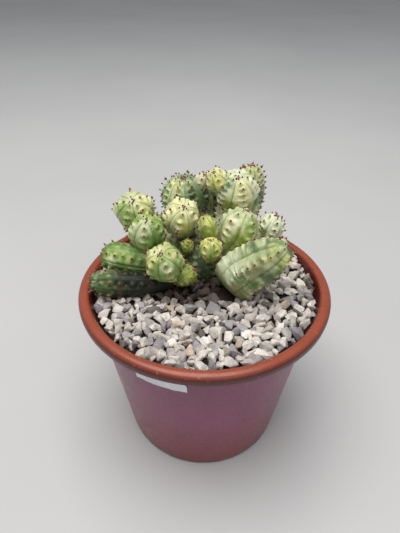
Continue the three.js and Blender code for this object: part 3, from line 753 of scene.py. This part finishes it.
def make_stem(stem, seed, bumps):
    ribs = stem["ribs"]
    many = COLUMNS["five"] if ribs == 5 else COLUMNS["more"]
    columns = ribs * (COLUMNS["small"] if stem["radius"] < SMALL_RADIUS else many)
    known_steps, known_length = measure(stem)
    rows = round(known_length[-1] / ROW_HEIGHT)
    steps = np.interp(np.linspace(FIRST_ROW, known_length[-1], rows), known_length, known_steps)
    place = np.arange(columns) * ribs / columns
    phi = np.radians(stem["turn"]) + place * 2 * np.pi / ribs
    phi = np.broadcast_to(phi, (rows, columns))
    features = relief(stem, steps, np.broadcast_to(place, phi.shape), bumps)
    points, out = on_form(rings_of(stem, steps), phi)
    fade = smooth(0, CROWN_STEPS, steps) * (1 - 0.6 * smooth(1.35, 1.9, steps))
    uneven = UNEVEN * broad_noise(points * 0.22 + seed)
    points = points - out * (stem["radius"] * (features["depth"] + uneven) * fade[:, None])[..., None]
    colours = tinted(stem, points, features, steps, seed)
    ends = rings_of(stem, [0.0, 2.0])["centre"]
    all_points = np.concatenate([ends[:1], points.reshape(-1, 3), ends[1:]])
    end_colours = colours[[0, -1]].mean(1)
    all_colours = np.concatenate([end_colours[:1], colours.reshape(-1, 3), end_colours[1:]])
    faces = grid_faces(rows, columns, 1)
    last = len(all_points) - 1
    for c in range(columns):
        after = (c + 1) % columns
        faces.append([0, 1 + c, 1 + after])
        faces.append([last, last - columns + after, last - columns + c])
    material = OLD_SKIN if stem["old"] else SKIN
    piece = make_piece(stem["name"] + "_skin", all_points, faces, material, all_colours)
    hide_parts(stem["name"])


def spine_places(stem, bumps, draw):
    """Where the spines of a stem stand: step, place round it, height of the tubercle, size and if dry."""
    known_steps, known_phases = count_down(stem)
    shaggy = stem["shaggy"]
    bare_from = stem["dark_from"] + BARE_AFTER if "dark_from" in stem else RIB_END
    places = []
    for rib in range(stem["ribs"]):
        for row in range(MOST_ROWS):
            phase = stem["first"] + STAGGER * rib % 1 + row + bumps[rib, row, 0]
            step = float(np.interp(phase, known_phases, known_steps))
            if phase < 0.1 or step > bare_from:
                continue
            is_dry = draw.uniform() < 0.06 + shaggy + 0.5 * smooth(0.85, 1.3, step)
            grown = 0.75 + 0.25 * smooth(0.1, 0.4, step)
            size = draw.uniform(*SPINE_SIZE) * grown * (1 + 0.5 * shaggy)
            places.append((step, rib + 0.5 + bumps[rib, row, 1], bumps[rib, row, 2], size, is_dry))
    for step, place, height, size, _ in list(places):
        if draw.uniform() < TWIN["chance"]:
            lower = step + draw.uniform(0, TWIN["step"])
            beside = place + draw.uniform(-TWIN["beside"], TWIN["beside"])
            places.append((lower, beside, height, size * TWIN["size"], True))
    for i in range(stem["ribs"] + CROWN["more"]):
        places.append((CROWN["step"] * draw.uniform(*CROWN["spread"]), i + draw.uniform(0, 1), 1.0,
                       draw.uniform(*CROWN["size"]), False))
    return places


def make_spines(stem, seed, bumps):
    draw = np.random.default_rng(300 + seed)
    scale = SMALL_SPINES if stem["radius"] < SMALL_RADIUS else 1.0
    shades = np.repeat(np.array(SPINE_SHADES), SPINE_SIDES)
    points, colours, faces = [], [], []
    for step, place, height, size, is_dry in spine_places(stem, bumps, draw):
        rings = rings_of(stem, [step])
        phi = np.array([[math.radians(stem["turn"]) + place * 2 * math.pi / stem["ribs"]]])
        point, out = on_form(rings, phi)
        rise = stem["radius"] * tubercle_height(stem, step) * smooth(0, CROWN_STEPS, step)
        sunk = rise * (max(1 - height, 0) - LIFT)
        root = point[0, 0] - out[0, 0] * sunk
        first = len(points) * len(shades)
        points.append(spine_points(root, out[0, 0], rings["along"][0], size * scale, draw))
        faces += grid_faces(len(SPINE_RINGS), SPINE_SIDES, first)
        faces.append([first + i for i in range(SPINE_SIDES)])
        faces.append([first + len(shades) - SPINE_SIDES + i for i in reversed(range(SPINE_SIDES))])
        foot = DRY_FOOT if is_dry else EYE_RED
        end = DRY_TIP if is_dry else mixed(TIP_RED, TIP_PINK, np.array(draw.uniform(0, 1)))
        colours.append(mixed(foot, end, shades))
    piece = make_piece(stem["name"] + "_spines", np.concatenate(points), faces, SPINE,
                       np.concatenate(colours))
    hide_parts(stem["name"])


# Gravel: stones dropped one by one onto a bed, each where it comes to lie lowest. Each colour has its
# weight, and the list of darkened places gives their middles and half extents: at the plant's foot the
# darkening is painted shade of the stems above, with some soil, and against the rim at the right it is soil.
STONE_COLOURS = [((232, 226, 220), 0.32), ((214, 207, 202), 0.26), ((192, 187, 186), 0.14),
                 ((160, 156, 161), 0.08), ((184, 181, 186), 0.07), ((212, 192, 174), 0.05),
                 ((128, 120, 118), 0.03), ((246, 242, 238), 0.05)]
SOIL_AND_SHADE = linear(54, 36, 27)
SOILED_AND_SHADED = [((-5.0, -1.0), (20.0, 11.5)), ((48.5, 0.0), (4.5, 9.0))]
SOIL_AND_SHADE_EDGE = (1.45, 0.75)
BARE_SOIL_AND_SHADE = 0.7
BARE = 0.5
STONES = 2600
STONE_SHAPES = 30
TRIES = 8
STONE_SIZES = ([3.3, 4.4, 5.5, 6.6, 7.7], [0.18, 0.27, 0.29, 0.18, 0.08])
STONE_LENGTH = 1.15
STONE_WIDTH = (0.8, 1.0)
STONE_HEIGHT = (0.58, 0.82)
STONE_TOP = 79.6
SPREAD = 47.6
UNDER = {"reach": 0.62, "percentile": 72, "sink": 0.72, "settle": 0.2}
STEM_OVERLAP = 0.2
STONE_CORNERS = (11, 16)
FACET_ANGLE = math.radians(14)
STONE_WORN = 0.06
CELL = 0.5
FIELD = 100


def stone_shape(draw):
    """A crushed stone of about 1 mm across: the hull of a block's drawn corners, with its edges worn."""
    shape = bmesh.new()
    way = unit(draw.normal(size=(draw.integers(*STONE_CORNERS), 3)))
    block = np.sum(way ** 4, axis=1, keepdims=True) ** -0.25
    for point in way * block * draw.uniform(0.4, 0.52, (len(way), 1)):
        shape.verts.new(point)
    hull = bmesh.ops.convex_hull(shape, input=shape.verts)
    bmesh.ops.delete(shape, geom=hull["geom_interior"], context="VERTS")
    bmesh.ops.dissolve_limit(shape, angle_limit=FACET_ANGLE, verts=shape.verts, edges=shape.edges)
    bmesh.ops.bevel(shape, geom=list(shape.edges), offset=STONE_WORN, segments=1, affect="EDGES",
                    profile=0.7, clamp_overlap=True)
    bmesh.ops.triangulate(shape, faces=shape.faces)
    shape.verts.ensure_lookup_table()
    points = np.array([v.co[:] for v in shape.verts])
    faces = np.array([[v.index for v in f.verts] for f in shape.faces])
    shape.free()
    return points, faces


def random_turn(draw):
    a, b, c = draw.uniform(0, 1, 3)
    x = math.sqrt(1 - a) * math.sin(2 * math.pi * b)
    y = math.sqrt(1 - a) * math.cos(2 * math.pi * b)
    z = math.sqrt(a) * math.sin(2 * math.pi * c)
    w = math.sqrt(a) * math.cos(2 * math.pi * c)
    return np.array([[1 - 2 * (y * y + z * z), 2 * (x * y - z * w), 2 * (x * z + y * w)],
                     [2 * (x * y + z * w), 1 - 2 * (x * x + z * z), 2 * (y * z - x * w)],
                     [2 * (x * z - y * w), 2 * (y * z + x * w), 1 - 2 * (x * x + y * y)]])


def inner_radius(z):
    return np.interp(z, [60, 75, 78.6, 79.6], [44.0, 46.0, 47.8, 48.6])


def soil_and_shade_of(x, y):
    """How dark a stone is made: at the plant's foot by painted shade of the stems above, with some soil, and
    against the rim at the right by soil.
    """
    away = [math.hypot((x - middle[0]) / half[0], (y - middle[1]) / half[1]) for middle, half in SOILED_AND_SHADED]
    return float(smooth(*SOIL_AND_SHADE_EDGE, min(away)))


def drawn_stone(draw, shapes):
    """A stone of a drawn size and turn about its own middle, its half extent each way, and its faces."""
    size = draw.choice(STONE_SIZES[0], p=STONE_SIZES[1]) * draw.uniform(0.88, 1.12)
    stretch = np.array([STONE_LENGTH, draw.uniform(*STONE_WIDTH), draw.uniform(*STONE_HEIGHT)]) * size
    shape, corners = shapes[draw.integers(len(shapes))]
    turned = shape * stretch @ random_turn(draw).T
    half = (turned.max(0) - turned.min(0)) / 2
    return turned - (turned.max(0) + turned.min(0)) / 2, half, corners


def lowest_place(draw, heights, axis, reach):
    """The lowest of a few drawn places in the pot: the height of what lies there, x and y."""
    best = None
    for _ in range(TRIES):
        angle = draw.uniform(0, 2 * math.pi)
        out = math.sqrt(draw.uniform()) * (SPREAD - reach * 0.8)
        x, y = out * math.cos(angle), out * math.sin(angle)
        near_x = np.abs(axis - x) < reach * UNDER["reach"]
        near_y = np.abs(axis - y) < reach * UNDER["reach"]
        floor = np.percentile(heights[np.ix_(near_x, near_y)], UNDER["percentile"])
        if best is None or floor < best[0]:
            best = (floor, x, y)
    return best


def make_gravel():
    draw = np.random.default_rng(77)
    shapes = [stone_shape(draw) for _ in range(STONE_SHAPES)]
    heights = np.full((2 * FIELD, 2 * FIELD), BED_Z)
    axis = (np.arange(2 * FIELD) - FIELD + 0.5) * CELL
    grid_x, grid_y = np.meshgrid(axis, axis, indexing="ij")
    weights = np.array([weight for _, weight in STONE_COLOURS])
    weights = weights / weights.sum()
    stem_rings = [rings_of(stem, np.linspace(0.1, 1.9, 13)) for stem in ALL_STEMS]
    stem_middles = np.concatenate([rings["centre"] for rings in stem_rings])
    stem_radii = np.concatenate([rings["radius"] for rings in stem_rings])
    points, faces, colours, count = [], [], [], 0
    for _ in range(STONES):
        stone, half, corners = drawn_stone(draw, shapes)
        reach = (half[0] + half[1]) / 2
        floor, x, y = lowest_place(draw, heights, axis, reach)
        z = floor + half[2] * UNDER["sink"]
        if z + half[2] > STONE_TOP or math.hypot(x, y) + reach * 0.78 > inner_radius(z):
            continue
        place = np.array([x, y, z])
        # How dark the stone is made: soil, and at the plant's foot also painted shade of the stems above;
        # where darkest, half the stones are left out so the dark soil shows.
        dust = soil_and_shade_of(x, y) * draw.uniform(0.85, 1.0)
        if dust > BARE_SOIL_AND_SHADE and draw.uniform() < BARE:
            continue
        if np.any(np.linalg.norm(stem_middles - place, axis=1) < stem_radii - STEM_OVERLAP * reach):
            continue
        flat = ((grid_x - x) / half[0]) ** 2 + ((grid_y - y) / half[1]) ** 2
        crown = z + half[2] * np.sqrt(np.clip(1 - flat, 0, 1)) - UNDER["settle"]
        heights = np.where(flat < 1, np.maximum(heights, crown), heights)
        points.append(stone + place)
        faces.append(corners + count)
        count += len(stone)
        tint = linear(*STONE_COLOURS[draw.choice(len(weights), p=weights)][0]) * draw.uniform(0.85, 1.1)
        colours.append(np.broadcast_to(tint + (SOIL_AND_SHADE - tint) * dust, stone.shape))
    piece = make_piece("gravel_stones", np.concatenate(points), np.concatenate(faces), STONE,
                       np.concatenate(colours), is_smooth=False)
    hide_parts("gravel")


def make_bed():
    """The soil between and under the stones, a lumpy disc with a skirt that narrows downwards."""
    rows, columns = BED["rows"], BED["columns"]
    radius = np.linspace(0, BED["radius"], rows)[:, None]
    turns = np.arange(columns) * 2 * np.pi / columns
    x, y = radius * np.cos(turns), radius * np.sin(turns)
    flat = np.stack([x, y, np.zeros_like(x)], axis=-1)
    z = BED_Z + BED["rise"] + 0.5 * broad_noise(flat * 0.5) + 0.3 * fine_noise(flat * 1.2)
    top = np.stack([x, y, z], axis=-1)
    low = np.stack([x[-1] * BED["narrow"], y[-1] * BED["narrow"], np.full(columns, BED["foot"])], axis=-1)
    points = np.concatenate([top.reshape(-1, 3), low])
    faces = [list(reversed(face)) for face in grid_faces(rows + 1, columns)]
    faces.append([rows * columns + c for c in range(columns)])
    piece = make_piece("gravel_bed", points, faces, SOIL)
    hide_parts("gravel")


# Pot
def wall_radius(z):
    slope = (WALL_TOP[0] - WALL_FOOT[0]) / (WALL_TOP[1] - WALL_FOOT[1])
    return WALL_FOOT[0] + slope * (z - WALL_FOOT[1])


def round_at(degrees, radius, z):
    angle = np.radians(degrees)
    return np.stack([radius * np.sin(angle), -radius * np.cos(angle), z + 0 * angle], axis=-1)


def curve_through(points, count):
    """A smooth line through points, by Catmull and Rom's rule."""
    points = np.array(points, float)
    padded = np.concatenate([points[:1], points, points[-1:]])
    line = []
    for i in range(len(points) - 1):
        p0, p1, p2, p3 = padded[i:i + 4]
        for t in np.arange(count) / count:
            line.append(0.5 * (2 * p1 + (p2 - p0) * t + (2 * p0 - 5 * p1 + 4 * p2 - p3) * t ** 2
                               + (3 * p1 - p0 - 3 * p2 + p3) * t ** 3))
    line.append(points[-1])
    return np.array(line)


def from_rim(points):
    return [(RIM_RADIUS - inward, POT_HEIGHT - down) for inward, down in points]


def pot_profile():
    """The pot's section from the middle of its underside, up its outside, over the rim and down inside."""
    under = [(radius, FLOOR_Z) for radius in (*FLOOR_RINGS, FOOT_RADIUS - FOOT_INSET)]
    foot = [(FOOT_RADIUS + out, z) for out, z in FOOT_BEAD]
    wall = [(wall_radius(z), z) for z in np.linspace(WALL_FOOT[1], WALL_TOP[1], WALL_ROWS)]
    rim = curve_through(from_rim(RIM_CURVE), RIM_ROWS).tolist()
    inside = [(WALL_TOP[0] - WALL, WALL_TOP[1])] + [(wall_radius(z) - WALL, z) for z in INNER_HEIGHTS]
    floor_top = FLOOR_Z + FLOOR_THICK
    floor = [(radius, floor_top) for radius in (wall_radius(floor_top) - WALL, *reversed(FLOOR_RINGS))]
    return np.array(under + foot + wall + from_rim(RIM_UNDERSIDE) + rim + inside + floor)


def nearest_turn(turns, others):
    return np.abs((turns[:, None] - others[None] + 180) % 360 - 180).min(1)


def pot_turns():
    """The angles of the pot's columns, with a pair at each side of each notch in its foot."""
    half = math.degrees(NOTCH["width"] / 2 / FOOT_RADIUS)
    middles = NOTCH["first"] + 360 / NOTCH["count"] * np.arange(NOTCH["count"])
    edges = np.concatenate([middles + side * half + step
                            for side in (-1, 1) for step in (-NOTCH_EDGE, NOTCH_EDGE)])
    even = np.arange(0, 360, COLUMN_DEGREES)
    turns = np.sort(np.concatenate([even[nearest_turn(even, edges) > COLUMN_ROOM], edges % 360]))
    return turns, nearest_turn(turns, middles) < half


def cut_drains(piece):
    tool = bmesh.new()
    for i in range(DRAIN["count"]):
        at = round_at(360 / DRAIN["count"] * i, DRAIN["ring"], FLOOR_Z)
        bmesh.ops.create_cone(tool, cap_ends=True, segments=DRAIN["sides"], radius1=DRAIN["radius"] * MM,
                              radius2=DRAIN["radius"] * MM, depth=DRAIN["depth"] * MM,
                              matrix=Matrix.Translation(Vector(at * MM)))
    cutter = bpy.data.meshes.new("drains")
    tool.to_mesh(cutter)
    tool.free()
    drains = bpy.data.objects.new("drains", cutter)
    bpy.context.collection.objects.link(drains)
    cut = piece.modifiers.new("drains", "BOOLEAN")
    cut.operation = "DIFFERENCE"
    cut.object = drains
    bpy.context.view_layer.objects.active = piece
    bpy.ops.object.modifier_apply(modifier=cut.name)
    bpy.data.objects.remove(drains)


def make_pot():
    profile = pot_profile()
    turns, in_notch = pot_turns()
    columns = len(turns)
    points = np.stack([round_at(turns, radius, z) for radius, z in profile])
    is_foot = (profile[:, 1] < NOTCH["height"]) & (profile[:, 0] > FOOT_RADIUS - NOTCH["inset"])
    for row in np.nonzero(is_foot)[0]:
        points[row, in_notch, 2] = NOTCH["height"]
    faces = [list(reversed(face)) for face in grid_faces(len(profile), columns)]
    faces.append(list(range(columns)))
    faces.append([(len(profile) - 1) * columns + c for c in reversed(range(columns))])
    piece = make_piece("pot_shell", points.reshape(-1, 3), faces, PLASTIC)
    cut_drains(piece)
    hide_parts("pot")


def make_sticker():
    """A label bent round the wall, with a nick in each short side and its edges a little lifted."""
    rows, columns = PAPER_GRID
    up = np.linspace(0, 1, rows)[:, None] + np.zeros((1, columns))
    along = np.linspace(-1, 1, columns)[None] + np.zeros((rows, 1))
    nick = STICKER["notch"] / (STICKER["width"] / 2) * np.clip(1 - np.abs(up - 0.5) * 2 / NICK_SHARE, 0, 1)
    z = STICKER["low"] + STICKER["height"] * up
    beside = along * (1 - nick) * STICKER["width"] / 2
    degrees = STICKER["azimuth"] + np.degrees(beside / wall_radius(STICKER["laid_at"]))
    wave = PAPER_WAVE * fine_noise(np.stack([along * 4, up * 3, 0 * up], axis=-1))
    lift = PAPER_ROOM + PAPER_LIFT * np.abs(along) ** 6 * (1 - up) + wave
    sheets = [round_at(degrees, wall_radius(z) + lift + thick, z) for thick in (PAPER_THICK, 0.0)]
    points = np.concatenate([sheet.reshape(-1, 3) for sheet in sheets])
    front = [list(reversed(face)) for face in grid_faces(rows, columns, 0, closed=False)]
    back = grid_faces(rows, columns, rows * columns, closed=False)
    index = np.arange(rows * columns).reshape(rows, columns)
    ring = [*index[0], *index[1:, -1], *index[-1, -2::-1], *index[-2:0:-1, 0]]
    sides = [[a, b, b + index.size, a + index.size] for a, b in zip(ring, ring[1:] + ring[:1])]
    piece = make_piece("sticker_paper", points, front + back + sides, PAPER)
    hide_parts("sticker")


# Stage, light and camera
def make_stage():
    material, tree, shader = new_material("pale_floor")
    feed(shader, "Base Color", greys(tree, 0.6, 0.66, scale=3, detail=3))
    feed(shader, "Roughness", 0.9)
    mesh = bpy.data.meshes.new("floor")
    half = FLOOR_HALF
    corners = [(-half, -half, 0), (half, -half, 0), (half, half, 0), (-half, half, 0)]
    mesh.from_pydata(corners, [], [(0, 1, 2, 3)])
    mesh.materials.append(material)
    floor = bpy.data.objects.new("floor", mesh)
    bpy.context.collection.objects.link(floor)


def make_light(name, place, size, power, colour):
    light = bpy.data.lights.new(name, "AREA")
    light.size = size
    light.energy = power
    light.color = colour
    lamp = bpy.data.objects.new(name, light)
    lamp.location = place
    lamp.rotation_euler = (Vector((0, 0, LIT_HEIGHT)) - Vector(place)).to_track_quat("-Z", "Y").to_euler()
    bpy.context.collection.objects.link(lamp)


def make_camera():
    camera = bpy.data.cameras.new("camera")
    camera.sensor_width = SENSOR
    camera.lens = FOCAL * SENSOR / PICTURE_HEIGHT
    camera.clip_start = NEAREST
    holder = bpy.data.objects.new("camera", camera)
    turn = Matrix(np.stack([RIGHT, UP, BACK], axis=1).tolist()).to_4x4()
    holder.matrix_world = Matrix.Translation(Vector(EYE * MM)) @ turn
    bpy.context.collection.objects.link(holder)
    bpy.context.scene.camera = holder


def set_world():
    world = bpy.data.worlds.new("sky")
    world.use_nodes = True
    background = world.node_tree.nodes["Background"]
    feed(background, "Color", SKY["colour"])
    feed(background, "Strength", SKY["strength"])
    bpy.context.scene.world = world
    bpy.context.scene.view_settings.view_transform = "Standard"


ALL_STEMS = [{**PLAIN, **stem} for stem in [*STEMS, OLD_STEM]]

make_camera()
set_world()
make_stage()
make_light("key", **KEY)
make_light("fill", **FILL)
make_pot()
make_sticker()
make_bed()
make_gravel()
for number, stem in enumerate(ALL_STEMS):
    bumps = drawn_bumps(stem["ribs"], number)
    make_stem(stem, number, bumps)
    if not stem["old"]:
        make_spines(stem, number, bumps)

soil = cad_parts["soil"]
soil.data.materials.clear()
soil.data.materials.append(SOIL)
